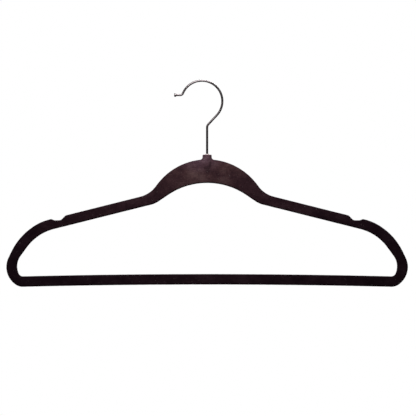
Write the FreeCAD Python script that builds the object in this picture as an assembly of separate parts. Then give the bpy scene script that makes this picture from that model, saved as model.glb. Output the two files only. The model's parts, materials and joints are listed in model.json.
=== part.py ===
import FreeCAD, Part
import math
import os

os.makedirs("parts", exist_ok=True)

# Slim clothes hanger: a flocked plastic body with a trouser bar, hung from a steel wire hook that
# swivels in a boss. The drawing frame has X = 0 on the swivel axis, Y = 0 on the joint between the
# two core halves with the front at -Y, and Z = 0 at the lowest line of the end loops. On export
# every piece is moved so that the origin is the rail seat, the point inside the top of the hook
# that bears on a rail. All sizes are in millimetres.

# Body outline, seen from the front and measured over the flock
WIDTH = 450.0                # over the two end loops
YOKE_TOP = 142.8             # top of the yoke, beside the boss
YOKE_DEPTH = 26.5            # top edge to underside, on the swivel axis
YOKE_TOP_RADIUS = 70.0
YOKE_UNDER_RADIUS = 78.0
NECK_REACH = 64.1            # swivel axis to the corner where the yoke runs out into the shoulder
NECK_DROP = 39.1             # that corner, below the top of the yoke
NECK_RADIUS = 31.0
NECK_UNDER_REACH = 58.1      # the same corner on the underside
NECK_UNDER_RADIUS = 28.0
STRIP_WIDTH = 11.7           # arm, end loop and bar

# Corners of the end loop's outer edge: inset from the side of the hanger, and height
SHOULDER_INSET = 37.0        # on the line of the shoulder
SHOULDER_HEIGHT = 72.6
SHOULDER_RADIUS = 56.0
END_INSET = 13.0
END_HEIGHT = 55.1
END_RADIUS = 70.0
NOSE_INSET = -6.7
NOSE_HEIGHT = 14.2
NOSE_RADIUS = 24.0
HEEL_INSET = 13.8
HEEL_RADIUS = 13.5

# Corners of its inner edge: inset from the inside of the strip, and height above the bar
INNER_SHOULDER_INSET = 22.5
INNER_SHOULDER_RADIUS = 54.0
INNER_NOSE_INSET = -2.0
INNER_NOSE_HEIGHT = 14.7
INNER_NOSE_RADIUS = 19.9
INNER_HEEL_INSET = 2.6
INNER_HEEL_RADIUS = 5.5
BAR_BOW = 2.3                # rise of the trouser bar at mid span
BAR_STRAIGHT = 15.0          # heel corner to the start of the bow

# Strap notch: distances down the shoulder from its inner lip, and depths square to the shoulder
NOTCH_FROM_SIDE = 66.1       # side of the hanger to the inner lip
NOTCH_LENGTH = 16.6
NOTCH_FLOOR_FROM = 6.4
NOTCH_FLOOR_TO = 13.3
NOTCH_DEPTH = 4.0            # at the inner end of the floor
NOTCH_OUTER_DEPTH = 2.4      # at the outer end of the floor
NOTCH_LIP_RADIUS = 3.0
NOTCH_FLOOR_RADIUS = 5.0

# Body section
BODY_THICKNESS = 5.0         # over the flock
EDGE_RADIUS = 1.7
FLOCK_THICKNESS = 0.4

# Swivel
WIRE_DIAMETER = 2.5
RUNNING_CLEARANCE = 0.04     # radial, wire in bush
FIT_CLEARANCE = 0.01         # radial, bush in the body
BUSH_WALL = 1.0
BUSH_PROUD = 0.9             # bush above the boss
BUSH_STEM_DEPTH = 7.0        # top of the boss to the flange of the bush
FLANGE_STEP = 1.2            # flange beyond the stem, radial
FLANGE_THICKNESS = 1.2
CAVITY_CLEARANCE = 0.15      # radial, around the flange
END_FLOAT = 0.08             # axial, washer to flange
WASHER_THICKNESS = 0.5
WASHER_CLEARANCE = 0.1       # radial, on the wire
WASHER_INSET = 0.3           # washer inside the rim of the flange, radial
FOOT_STEP = 0.95             # upset foot beyond the wire, radial
FOOT_HEIGHT = 1.6
FOOT_EDGE_RADIUS = 0.5
FOOT_ROOM = 0.8              # free height under the foot
BOSS_WALL = 1.1
BOSS_HEIGHT = 5.2            # above the top of the yoke
BOSS_EDGE_RADIUS = 0.9
BOSS_FILLET = 3.4            # boss into the top of the yoke
BOSS_FILLET_SINK = 0.12      # fillet's end, inside the round of the boss
BOSS_TAPER_LENGTH = 10.0     # run-out of the boss into the faces of the yoke
BOSS_TAPER_STEP = 1.0        # end of the run-out, below those faces

# Hook, on the centreline of the wire
NECK_BEND_HEIGHT = 32.6      # top of the boss to the bend where the shank leaves the axis
NECK_BEND_RADIUS = 5.5
CROWN_RADIUS = 23.0
CROWN_OFFSET = 5.9           # crown's centre, left of the swivel axis
CROWN_HEIGHT = 60.1          # crown's centre, above the boss
LIP_RISE = 6.9               # lip, above the crown's centre
LIP_BEND_RADIUS = 3.3
LIP_REACH = 37.0             # swivel axis to the end of the tip button
BUTTON_STEP = 0.75           # button beyond the wire, radial
BUTTON_LENGTH = 2.3
BUTTON_EDGE_RADIUS = 0.7

# Locating pegs between the core halves
PEG_DIAMETER = 2.4
PEG_HEIGHT = 1.1
PEG_CLEARANCE = 0.1
PEGS_PER_ARM = 3
PEGS_PER_BAR_HALF = 2
YOKE_PEG_REACH = 16.0

ROUNDING_SHARE = 0.98        # of a line that the roundings at its two ends may take

wire_radius = WIRE_DIAMETER / 2
bore_radius = wire_radius + RUNNING_CLEARANCE
bush_radius = bore_radius + BUSH_WALL
flange_radius = bush_radius + FLANGE_STEP
cavity_radius = flange_radius + CAVITY_CLEARANCE
boss_radius = cavity_radius + BOSS_WALL + FLOCK_THICKNESS

boss_top = YOKE_TOP + BOSS_HEIGHT
flange_top = boss_top - BUSH_STEM_DEPTH
flange_bottom = flange_top - FLANGE_THICKNESS
washer_top = flange_bottom - END_FLOAT
foot_top = washer_top - WASHER_THICKNESS
foot_bottom = foot_top - FOOT_HEIGHT
cavity_bottom = foot_bottom - FOOT_ROOM
boss_straight_to = cavity_bottom - BOSS_WALL

half_width = WIDTH / 2
neck = (NECK_REACH, YOKE_TOP - NECK_DROP)
shoulder = (half_width - SHOULDER_INSET, SHOULDER_HEIGHT)
heel_x = half_width - HEEL_INSET
inner_side = half_width - STRIP_WIDTH

crown_centre = (-CROWN_OFFSET, boss_top + CROWN_HEIGHT)
lip_height = crown_centre[1] + LIP_RISE
rail_seat = (crown_centre[0], crown_centre[1] + CROWN_RADIUS - wire_radius)


# Points and directions in the plane of the hanger are pairs (x, z).

def vector(point, y=0.0):
    return FreeCAD.Vector(point[0], y, point[1])


def along(point, direction, distance):
    return (point[0] + direction[0] * distance, point[1] + direction[1] * distance)


def unit(start, end):
    length = math.dist(start, end)
    return ((end[0] - start[0]) / length, (end[1] - start[1]) / length)


def right_of(direction):
    """The direction a quarter turn clockwise: into the body, along the outer edge's right half."""
    return (direction[1], -direction[0])


def on_circle(centre, radius, angle):
    return (centre[0] + radius * math.cos(angle), centre[1] + radius * math.sin(angle))


def meet(line_a, line_b):
    """Where two lines cross, each given as a point and a direction."""
    (point_a, way_a), (point_b, way_b) = line_a, line_b
    gap = (point_b[0] - point_a[0], point_b[1] - point_a[1])
    across = way_a[0] * way_b[1] - way_a[1] * way_b[0]
    return along(point_a, way_a, (gap[0] * way_b[1] - gap[1] * way_b[0]) / across)


def arc(centre, radius, start_angle, end_angle):
    """The three points of an arc: its start, its middle and its end."""
    return [on_circle(centre, radius, a) for a in (start_angle, (start_angle + end_angle) / 2, end_angle)]


def rounding_runs(points, corners):
    """Half of each corner's angle, and the length its rounding takes of the lines beside it.

    Where two roundings would meet on a line, both are reduced to share it.
    """
    half_angles = []
    for before, tip, after in zip(points, points[1:], points[2:]):
        back = unit(tip, before)
        ahead = unit(tip, after)
        half_angles.append(math.acos(back[0] * ahead[0] + back[1] * ahead[1]) / 2)
    wanted = [0] + [corner[2] / math.tan(half) for corner, half in zip(corners, half_angles)] + [0]
    shares = []
    for i in range(len(points) - 1):
        room = ROUNDING_SHARE * math.dist(points[i], points[i + 1])
        shares.append(min(1, room / (wanted[i] + wanted[i + 1])))
    runs = [wanted[i] * min(shares[i - 1], shares[i]) for i in range(1, len(points) - 1)]
    return half_angles, runs


def rounded(start, corners, end):
    """Lines from start through the corners (x, z, radius) to end, each corner rounded by a tangent arc."""
    points = [start] + [corner[:2] for corner in corners] + [end]
    half_angles, runs = rounding_runs(points, corners)
    segments = []
    here = start
    for i, (half_angle, run) in enumerate(zip(half_angles, runs), 1):
        tip = points[i]
        back = unit(tip, points[i - 1])
        ahead = unit(tip, points[i + 1])
        radius = run * math.tan(half_angle)
        inward = unit((0, 0), (back[0] + ahead[0], back[1] + ahead[1]))
        middle = along(tip, inward, radius / math.sin(half_angle) - radius)
        segments.append([here, along(tip, back, run)])
        segments.append([along(tip, back, run), middle, along(tip, ahead, run)])
        here = along(tip, ahead, run)
    segments.append([here, end])
    return segments


def edges(segments):
    """Edges from lists of two points, for a line, or three, for an arc."""
    curves = []
    for points in segments:
        kind = Part.LineSegment if len(points) == 2 else Part.Arc
        curves.append(kind(*(vector(p) for p in points)).toShape())
    return curves


def mirrored(segments):
    return [[(-x, z) for x, z in points] for points in segments]


def closed_wire(segments):
    return Part.Wire(Part.__sortEdges__(edges(segments)))


def yoke_arc(top, radius, corner, start_angle=math.pi / 2):
    """An arc, level at the swivel axis, up to the point where the line to the corner touches it."""
    centre = (0, top - radius)
    bearing = math.atan2(corner[1] - centre[1], corner[0])
    touch = bearing + math.acos(radius / math.dist(centre, corner))
    return arc(centre, radius, start_angle, touch)


def bowed_edge(mid_height, corner_x):
    """One long edge of the bar: the point where its bow ends, and its corner on the straight beyond."""
    bow_end = heel_x - BAR_STRAIGHT
    radius = (bow_end ** 2 + BAR_BOW ** 2) / (2 * BAR_BOW)
    slope = bow_end / math.sqrt(radius ** 2 - bow_end ** 2)
    height = mid_height - BAR_BOW
    return (bow_end, height), (corner_x, height - slope * (corner_x - bow_end))


def notch_corners():
    """The strap notch's four corners, inner lip first."""
    down = unit(neck, shoulder)
    lip_x = half_width - NOTCH_FROM_SIDE
    lip = along(neck, down, (lip_x - NECK_REACH) / down[0])
    spots = (
        (0, 0, NOTCH_LIP_RADIUS),
        (NOTCH_FLOOR_FROM, NOTCH_DEPTH, NOTCH_FLOOR_RADIUS),
        (NOTCH_FLOOR_TO, NOTCH_OUTER_DEPTH, NOTCH_FLOOR_RADIUS),
        (NOTCH_LENGTH, 0, NOTCH_LIP_RADIUS),
    )
    corners = []
    for run, depth, radius in spots:
        corners.append((*along(along(lip, down, run), right_of(down), depth), radius))
    return corners


def boss_web():
    """Right half of the web that fillets the boss into the yoke's top; its head is inside the boss."""
    yoke_centre = (0, YOKE_TOP - YOKE_TOP_RADIUS)
    side = boss_radius - BOSS_FILLET_SINK
    fillet_x = side + BOSS_FILLET
    rise = math.sqrt((YOKE_TOP_RADIUS + BOSS_FILLET) ** 2 - fillet_x ** 2)
    fillet_centre = (fillet_x, yoke_centre[1] + rise)
    touch = math.atan2(rise, fillet_x)
    head = (fillet_centre[1] + boss_top) / 2
    head_radius = (head - fillet_centre[1]) / 2
    web = rounded((0, head), [(side, head, head_radius)], (side, fillet_centre[1]))
    return web + [arc(fillet_centre, BOSS_FILLET, math.pi, math.pi + touch)], touch


def outer_wire():
    """Outer edge: web, yoke, shoulder with its notch, end loop and the underside of the bar."""
    bow_end, heel = bowed_edge(BAR_BOW, heel_x)
    web, web_touch = boss_web()
    yoke = yoke_arc(YOKE_TOP, YOKE_TOP_RADIUS, neck, web_touch)
    end_loop = [
        (*shoulder, SHOULDER_RADIUS),
        (half_width - END_INSET, END_HEIGHT, END_RADIUS),
        (half_width - NOSE_INSET, NOSE_HEIGHT, NOSE_RADIUS),
        (*heel, HEEL_RADIUS),
    ]
    half = web + [yoke] + rounded(yoke[-1], [(*neck, NECK_RADIUS)] + notch_corners() + end_loop, bow_end)
    bow = [bow_end, (0, BAR_BOW), (-bow_end[0], bow_end[1])]
    return closed_wire(half + mirrored(half) + [bow])


def inner_wire():
    """Edge of the opening: a strip's width inside the outer edge, except under the deep yoke."""
    bow_end, heel = bowed_edge(BAR_BOW + STRIP_WIDTH, inner_side - INNER_HEEL_INSET)
    down = unit(neck, shoulder)
    arm_line = (along(neck, right_of(down), STRIP_WIDTH), down)
    under_neck = meet(arm_line, ((NECK_UNDER_REACH, 0), (0, 1)))
    under_shoulder = meet(arm_line, ((inner_side - INNER_SHOULDER_INSET, 0), (0, 1)))
    yoke = yoke_arc(YOKE_TOP - YOKE_DEPTH, YOKE_UNDER_RADIUS, under_neck)
    corners = [
        (*under_neck, NECK_UNDER_RADIUS),
        (*under_shoulder, INNER_SHOULDER_RADIUS),
        (inner_side - INNER_NOSE_INSET, STRIP_WIDTH + INNER_NOSE_HEIGHT, INNER_NOSE_RADIUS),
        (*heel, INNER_HEEL_RADIUS),
    ]
    half = [yoke] + rounded(yoke[-1], corners, bow_end)
    bow = [bow_end, (0, BAR_BOW + STRIP_WIDTH), (-bow_end[0], bow_end[1])]
    return closed_wire(half + mirrored(half) + [bow])


def plate(outline, inset):
    """A flat plate with rounded edges, made from the body's outline less an inset on every side."""
    thickness = BODY_THICKNESS - 2 * inset
    face = outline.makeOffset2D(-inset) if inset else outline
    solid = face.extrude(FreeCAD.Vector(0, thickness, 0))
    solid.translate(FreeCAD.Vector(0, -thickness / 2, 0))
    rims = [e for e in solid.Edges if e.BoundBox.YLength < thickness / 2]
    return solid.makeFillet(EDGE_RADIUS - inset, rims)


def revolved(outline):
    """A solid turned about the swivel axis from points (radius, z)."""
    face = Part.Face(Part.makePolygon([vector(p) for p in outline + outline[:1]]))
    return face.revolve(FreeCAD.Vector(0, 0, 0), FreeCAD.Vector(0, 0, 1), 360)


def boss(inset):
    """The round boss: straight down past the swivel's cavity, then tapered into the yoke's faces."""
    radius = boss_radius - inset
    top = boss_top - inset
    end_radius = BODY_THICKNESS / 2 - BOSS_TAPER_STEP - inset
    taper_end = boss_straight_to - BOSS_TAPER_LENGTH
    sides = [(radius, top), (radius, boss_straight_to), (end_radius, taper_end)]
    solid = revolved([(0, top)] + sides + [(0, taper_end)])
    top_edges = [e for e in solid.Edges if e.BoundBox.ZMin > top - BOSS_EDGE_RADIUS]
    rim = [e for e in top_edges if e.BoundBox.XLength > radius]
    return solid.makeFillet(BOSS_EDGE_RADIUS, rim)


def body(inset):
    """The whole hanger body, less an inset on every side."""
    outline = Part.Face([outer_wire(), inner_wire()], "Part::FaceMakerBullseye")
    return plate(outline, inset).fuse(boss(inset)).removeSplitter()


def cylinder(radius, low, high):
    """A cylinder on the swivel axis."""
    return Part.makeCylinder(radius, high - low, vector((0, low)))


def ring(outer_radius, inner_radius, low, high):
    return cylinder(outer_radius, low, high).cut(cylinder(inner_radius, low, high))


def peg_spots():
    """Centres of the locating pegs: along the arms and the bar, and on each side of the boss."""
    down = unit(neck, shoulder)
    arm_length = (half_width - NOTCH_FROM_SIDE - NECK_REACH) / down[0]
    arm_start = along(neck, right_of(down), STRIP_WIDTH / 2)
    bar_half = heel_x - BAR_STRAIGHT
    spots = [(YOKE_PEG_REACH, YOKE_TOP - YOKE_DEPTH / 2)]
    for i in range(PEGS_PER_ARM):
        spots.append(along(arm_start, down, arm_length * (i + 0.5) / PEGS_PER_ARM))
    for i in range(PEGS_PER_BAR_HALF):
        share = (i + 0.5) / PEGS_PER_BAR_HALF
        spots.append((bar_half * share, STRIP_WIDTH / 2 + BAR_BOW * (1 - share ** 2)))
    return spots + [(-x, z) for x, z in spots]


def peg(spot, radius, length):
    """A round peg from the joint face towards the front."""
    return Part.makeCylinder(radius, length, vector(spot), FreeCAD.Vector(0, -1, 0))


def core_half(core, side):
    """The half of the core in front of the joint face, side -1, or behind it, side 1."""
    corner = FreeCAD.Vector(-WIDTH, min(0, side * WIDTH), -WIDTH / 2)
    return core.common(Part.makeBox(2 * WIDTH, WIDTH, 2 * WIDTH, corner))


def make_cores(core):
    """Both core halves, with the swivel's cavity between them."""
    bore = cylinder(bush_radius + FIT_CLEARANCE, flange_top, boss_top)
    hollow = core.cut(bore.fuse(cylinder(cavity_radius, cavity_bottom, flange_top)))
    front = core_half(hollow, -1)
    rear = core_half(hollow, 1)
    radius = PEG_DIAMETER / 2
    sockets = [peg(spot, radius + PEG_CLEARANCE, PEG_HEIGHT + PEG_CLEARANCE) for spot in peg_spots()]
    pegs = [peg(spot, radius, PEG_HEIGHT) for spot in peg_spots()]
    return front.cut(sockets), rear.fuse(pegs)


def make_flock(skin, core):
    """The coat of pile: everything between the skin and the core, open where the bush comes out."""
    return skin.cut([core, cylinder(bush_radius + FIT_CLEARANCE, flange_top, boss_top)])


def make_bush():
    stem = ring(bush_radius, bore_radius, flange_bottom, boss_top + BUSH_PROUD)
    return stem.fuse(ring(flange_radius, bore_radius, flange_bottom, flange_top)).removeSplitter()


def make_washer():
    return ring(flange_radius - WASHER_INSET, wire_radius + WASHER_CLEARANCE, foot_top, washer_top)


def hook_path():
    """Centreline of the wire, from the foot up the axis, round the crown and out along the lip."""
    bend = (0, boss_top + NECK_BEND_HEIGHT)
    bearing = math.atan2(bend[1] - crown_centre[1], bend[0] - crown_centre[0])
    crown_start = bearing + math.acos(CROWN_RADIUS / math.dist(crown_centre, bend))
    shank = rounded(
        (0, foot_bottom), [(*bend, NECK_BEND_RADIUS)], on_circle(crown_centre, CROWN_RADIUS, crown_start)
    )
    lip_centre_z = lip_height + LIP_BEND_RADIUS
    rise = lip_centre_z - crown_centre[1]
    reach = math.sqrt((CROWN_RADIUS + LIP_BEND_RADIUS) ** 2 - rise ** 2)
    lip_centre = (crown_centre[0] - reach, lip_centre_z)
    crown_end = math.atan2(rise, -reach)
    crown = arc(crown_centre, CROWN_RADIUS, crown_start, crown_end)
    lip_bend = arc(lip_centre, LIP_BEND_RADIUS, crown_end - math.pi, -math.pi / 2)
    lip = [lip_bend[-1], (BUTTON_LENGTH / 2 - LIP_REACH, lip_height)]
    return shank + [crown, lip_bend, lip]


def make_hook():
    """The wire with its upset foot and the button headed on its tip."""
    path = Part.Wire(edges(hook_path()))
    section = Part.Wire(Part.makeCircle(wire_radius, vector((0, foot_bottom)), FreeCAD.Vector(0, 0, 1)))
    wire = path.makePipeShell([section], True, False)
    foot = cylinder(wire_radius + FOOT_STEP, foot_bottom, foot_top)
    foot_rim = [e for e in foot.Edges if e.BoundBox.ZMax < foot_bottom + FOOT_EDGE_RADIUS]
    foot = foot.makeFillet(FOOT_EDGE_RADIUS, foot_rim)
    button_radius = wire_radius + BUTTON_STEP
    tip = vector((BUTTON_LENGTH - LIP_REACH, lip_height))
    button = Part.makeCylinder(button_radius, BUTTON_LENGTH, tip, FreeCAD.Vector(-1, 0, 0))
    button_rims = [e for e in button.Edges if e.BoundBox.XLength < BUTTON_EDGE_RADIUS]
    button = button.makeFillet(BUTTON_EDGE_RADIUS, button_rims)
    return wire.fuse([foot, button])


def export(node, shape):
    """Write one piece, moved so that the rail seat is the origin."""
    placed = shape.copy()
    placed.translate(FreeCAD.Vector(-rail_seat[0], 0, -rail_seat[1]))
    if not placed.isValid() or len(placed.Solids) != 1:
        raise ValueError(node + " is not one sound solid")
    placed.Solids[0].exportStep("parts/" + node + ".step")


skin = body(0)
core = body(FLOCK_THICKNESS)
core_front, core_rear = make_cores(core)
export("core_front", core_front)
export("core_rear", core_rear)
export("flock_coat", make_flock(skin, core))
export("hook_bush", make_bush())
export("thrust_washer", make_washer())
export("hook", make_hook())
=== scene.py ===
import json
import math

import bpy
import numpy as np
from bpy.props import FloatProperty, FloatVectorProperty, PointerProperty
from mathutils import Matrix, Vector


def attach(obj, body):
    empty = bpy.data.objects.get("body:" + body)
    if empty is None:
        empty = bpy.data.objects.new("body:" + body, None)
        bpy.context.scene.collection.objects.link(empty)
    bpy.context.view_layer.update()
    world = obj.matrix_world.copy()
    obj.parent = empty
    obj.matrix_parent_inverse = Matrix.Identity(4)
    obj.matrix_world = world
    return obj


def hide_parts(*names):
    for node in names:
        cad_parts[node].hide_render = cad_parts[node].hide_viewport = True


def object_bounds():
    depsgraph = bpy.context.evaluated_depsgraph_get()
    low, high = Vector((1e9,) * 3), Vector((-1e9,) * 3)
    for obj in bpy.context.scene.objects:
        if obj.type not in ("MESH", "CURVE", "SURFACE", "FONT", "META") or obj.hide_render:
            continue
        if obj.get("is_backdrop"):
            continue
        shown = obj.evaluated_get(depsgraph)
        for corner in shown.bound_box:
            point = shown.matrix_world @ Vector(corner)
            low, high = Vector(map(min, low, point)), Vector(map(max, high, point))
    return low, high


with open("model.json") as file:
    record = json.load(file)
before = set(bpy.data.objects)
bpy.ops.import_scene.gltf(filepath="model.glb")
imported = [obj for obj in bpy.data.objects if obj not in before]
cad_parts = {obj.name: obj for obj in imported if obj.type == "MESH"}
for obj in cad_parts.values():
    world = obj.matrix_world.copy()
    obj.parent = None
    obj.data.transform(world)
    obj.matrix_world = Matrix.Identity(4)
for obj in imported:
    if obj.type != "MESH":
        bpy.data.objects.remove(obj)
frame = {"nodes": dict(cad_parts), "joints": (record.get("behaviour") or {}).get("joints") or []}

bl_info = {
    "name": "Flocked Clothes Hanger",
    "version": (1, 0, 0),
    "blender": (4, 5, 0),
    "location": "View3D > Sidebar > Hanger",
    "description": "Finishes a slim flocked clothes hanger: velvet, wire hook, nylon bush and plastic core",
    "category": "Object",
}

MM = 0.001
CAD_LOW, CAD_HIGH = (tuple(corner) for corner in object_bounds())

# Places that come from the frame. The swivel axis stands at AXIS_X, and the drawing's base line, the
# lowest line of the end loops, at BASE_Z. Outlines are drawn in millimetres from those two, as x to
# the right and z up.
AXIS_X = float(frame["joints"][0]["pos_m"][0])
BOSS_TOP_Z = float(frame["joints"][0]["pos_m"][2])
BOSS_TOP = 148.0
BASE_Z = BOSS_TOP_Z - BOSS_TOP * MM

# Body, measured over the pile
WIDTH = 450.0
YOKE_TOP = 142.8
YOKE_DEPTH = 26.5
YOKE_TOP_RADIUS = 70.0
YOKE_UNDER_RADIUS = 78.0
NECK_REACH = 64.1
NECK_DROP = 39.1
NECK_RADIUS = 31.0
NECK_UNDER_REACH = 58.1
NECK_UNDER_RADIUS = 28.0
STRIP_WIDTH = 11.7
BODY_THICKNESS = 5.0
EDGE_RADIUS = 1.7
BAR_BOW = 2.3
BAR_STRAIGHT = 15.0

# Corners of the end loop's outer edge, inset from the side of the hanger
SHOULDER_INSET = 37.0
SHOULDER_HEIGHT = 72.6
SHOULDER_RADIUS = 56.0
END_INSET = 13.0
END_HEIGHT = 55.1
END_RADIUS = 70.0
NOSE_INSET = -6.7
NOSE_HEIGHT = 14.2
NOSE_RADIUS = 24.0
HEEL_INSET = 13.8
HEEL_RADIUS = 13.5

# Corners of its inner edge, inset from the inside of the strip
INNER_SHOULDER_INSET = 22.5
INNER_SHOULDER_RADIUS = 54.0
INNER_NOSE_INSET = -2.0
INNER_NOSE_HEIGHT = 14.7
INNER_NOSE_RADIUS = 19.9
INNER_HEEL_INSET = 2.6
INNER_HEEL_RADIUS = 5.5

# Strap notch: distances down the shoulder from its inner lip, and depths square to the shoulder
NOTCH_FROM_SIDE = 66.1
NOTCH_LENGTH = 16.6
NOTCH_FLOOR_FROM = 6.4
NOTCH_FLOOR_TO = 13.3
NOTCH_DEPTH = 4.0
NOTCH_OUTER_DEPTH = 2.4
NOTCH_LIP_RADIUS = 3.0
NOTCH_FLOOR_RADIUS = 5.0

# Boss and swivel
BOSS_RADIUS = 5.14
BOSS_EDGE_RADIUS = 0.9
BOSS_FILLET = 3.4
BOSS_FILLET_SINK = 0.12      # fillet's end, inside the round of the boss
BOSS_STRAIGHT_TO = 135.7
BOSS_TAPER_LENGTH = 10.0
BOSS_TAPER_STEP = 1.0        # end of the run-out, below the faces of the yoke
BUSH_RADIUS = 2.29
BUSH_BORE = 1.29
BUSH_PROUD = 0.9
FLANGE_RADIUS = 3.49
FLANGE_TOP = 141.0
FLANGE_BOTTOM = 139.8

# Velvet at the boss: the coat swells over it from below, and a separate cap covers it from CAP_FOOT up
CAP_FOOT = 136.8
CAP_FOOT_INSET = 0.3         # foot of the cap, inside the boss and so under the coat
CAP_FULL_FROM = 139.2
CAP_THICKNESS = 0.38
CAP_TO_BUSH = 0.03
SWELL_PROUD = 0.02           # coat outside the boss, below the cap
SWELL_TUCK = 0.14            # coat drawn in again, under the cap
SWELL_TUCK_RISE = 2.0        # start of that, above the straight length's end
SWELL_TUCK_RUN = 1.5
SWELL_BLEND = 0.7            # rounding between the swell and the face
SWELL_REACH = 12.0           # from the axis to where the faces are flat
SWELL_FADE = 6.0
SWELL_FOOT = 122.0           # height up to which the faces are flat
SWELL_FOOT_FADE = 3.0

# Hook, on the centreline of the wire
WIRE_RADIUS = 1.25
FOOT_BOTTOM = 137.62
FOOT_TOP = 139.22
FOOT_RADIUS = 2.2
FOOT_EDGE_RADIUS = 0.5
FOOT_TOP_EDGE_RADIUS = 0.15
FOOT_ROOT = 0.12             # wire thicker where the foot was upset
NECK_BEND_Z = 180.6
NECK_BEND_RADIUS = 5.5
CROWN_CENTRE = (-5.9, 208.1)
CROWN_RADIUS = 23.0
LIP_Z = 215.0
LIP_BEND_RADIUS = 3.3
LIP_REACH = 37.0
BUTTON_RADIUS = 2.0
BUTTON_LENGTH = 2.3
BUTTON_EDGE_RADIUS = 0.7
BUTTON_BACK_RADIUS = 0.6
BUTTON_ROOT = 0.14           # wire thicker where the button was headed

# Stage: both lights stand at the same height and distance, one each side of the hanger
LIGHT_ASIDE = 0.05
LIGHT_AWAY = 0.28
LIGHT_HEIGHT = 0.42
LIGHT_SIDE = 0.2
CAMERA_ASIDE = 1.0 * MM
CAMERA_HEIGHT = 88.2 * MM
SENSOR_WIDTH = 36.0
ROOM_STRENGTH = 0.06


# ------------------------------------------------------------------ outlines

def on_circle(centre, radius, angles):
    """Points on a circle at the given angles."""
    return np.stack([centre[0] + radius * np.cos(angles), centre[1] + radius * np.sin(angles)], axis=-1)


def arc(centre, radius, start, end, step):
    """Points along an arc, about one every step."""
    count = max(2, int(abs(end - start) * radius / step) + 1)
    return on_circle(centre, radius, np.linspace(start, end, count))


def rounded(start, corners, end, step):
    """Points along straight runs through the corners (x, z, radius), with a tangent arc at each corner.

    The arc's centre lies on the corner's bisector at radius / sin(half the corner's angle) from the corner.
    """
    points = [np.asarray(p[:2], float) for p in [start] + list(corners) + [end]]
    pieces = [points[0][None]]
    for before, corner, after, spec in zip(points, points[1:], points[2:], corners):
        back = (before - corner) / np.linalg.norm(before - corner)
        ahead = (after - corner) / np.linalg.norm(after - corner)
        half = math.acos(float(back @ ahead)) / 2
        bisector = (back + ahead) / np.linalg.norm(back + ahead)
        centre = corner + bisector * spec[2] / math.sin(half)
        first = corner + back * spec[2] / math.tan(half) - centre
        last = corner + ahead * spec[2] / math.tan(half) - centre
        start_angle = math.atan2(first[1], first[0])
        turn = (math.atan2(last[1], last[0]) - start_angle + math.pi) % (2 * math.pi) - math.pi
        pieces.append(arc(centre, spec[2], start_angle, start_angle + turn, step))
    pieces.append(points[-1][None])
    return np.concatenate(pieces)


def lengths_along(points):
    """Distance from the first point along the line to each point."""
    return np.concatenate([[0.0], np.cumsum(np.linalg.norm(np.diff(points, axis=0), axis=1))])


def resample(points, count):
    """The same line with its points evenly spaced, without its last point."""
    along = lengths_along(points)
    want = np.linspace(0, along[-1], count, endpoint=False)
    return np.stack([np.interp(want, along, points[:, k]) for k in range(points.shape[1])], axis=-1)


def yoke_arc(top, radius, corner, start, step=0.5):
    """An arc level at the swivel axis, as far as the point where the line to the corner touches it."""
    centre = (0.0, top - radius)
    bearing = math.atan2(corner[1] - centre[1], corner[0])
    return arc(centre, radius, start, bearing + math.acos(radius / math.dist(centre, corner)), step)


def bowed_edge(mid_z, corner_x):
    """One long edge of the bar: its bow, from the end to the centre, and the corner at the heel."""
    bow_end = WIDTH / 2 - HEEL_INSET - BAR_STRAIGHT
    radius = (bow_end ** 2 + BAR_BOW ** 2) / (2 * BAR_BOW)
    slope = bow_end / math.sqrt(radius ** 2 - bow_end ** 2)
    x = np.linspace(bow_end, 0.0, 200)
    bow = np.stack([x, mid_z - radius + np.sqrt(radius ** 2 - x ** 2)], axis=-1)
    return bow, (corner_x, mid_z - BAR_BOW - slope * (corner_x - bow_end))


def shoulder_line():
    """The outer corners at the neck and the shoulder, and the ways down the shoulder and square in."""
    neck = np.array([NECK_REACH, YOKE_TOP - NECK_DROP])
    shoulder = np.array([WIDTH / 2 - SHOULDER_INSET, SHOULDER_HEIGHT])
    down = (shoulder - neck) / math.dist(shoulder, neck)
    return neck, shoulder, down, np.array([down[1], -down[0]])


def notch_point(run, depth):
    """A point of the strap notch, at a distance down the shoulder from its inner lip and at a depth."""
    neck, _, down, inward = shoulder_line()
    lip = neck + down * (WIDTH / 2 - NOTCH_FROM_SIDE - neck[0]) / down[0]
    return lip + down * run + inward * depth


def under_neck_corner():
    """The corner under the neck, on the line a strip's width inside the shoulder."""
    neck, _, down, inward = shoulder_line()
    under = neck + STRIP_WIDTH * inward
    return under + down * (NECK_UNDER_REACH - under[0]) / down[0]


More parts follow.
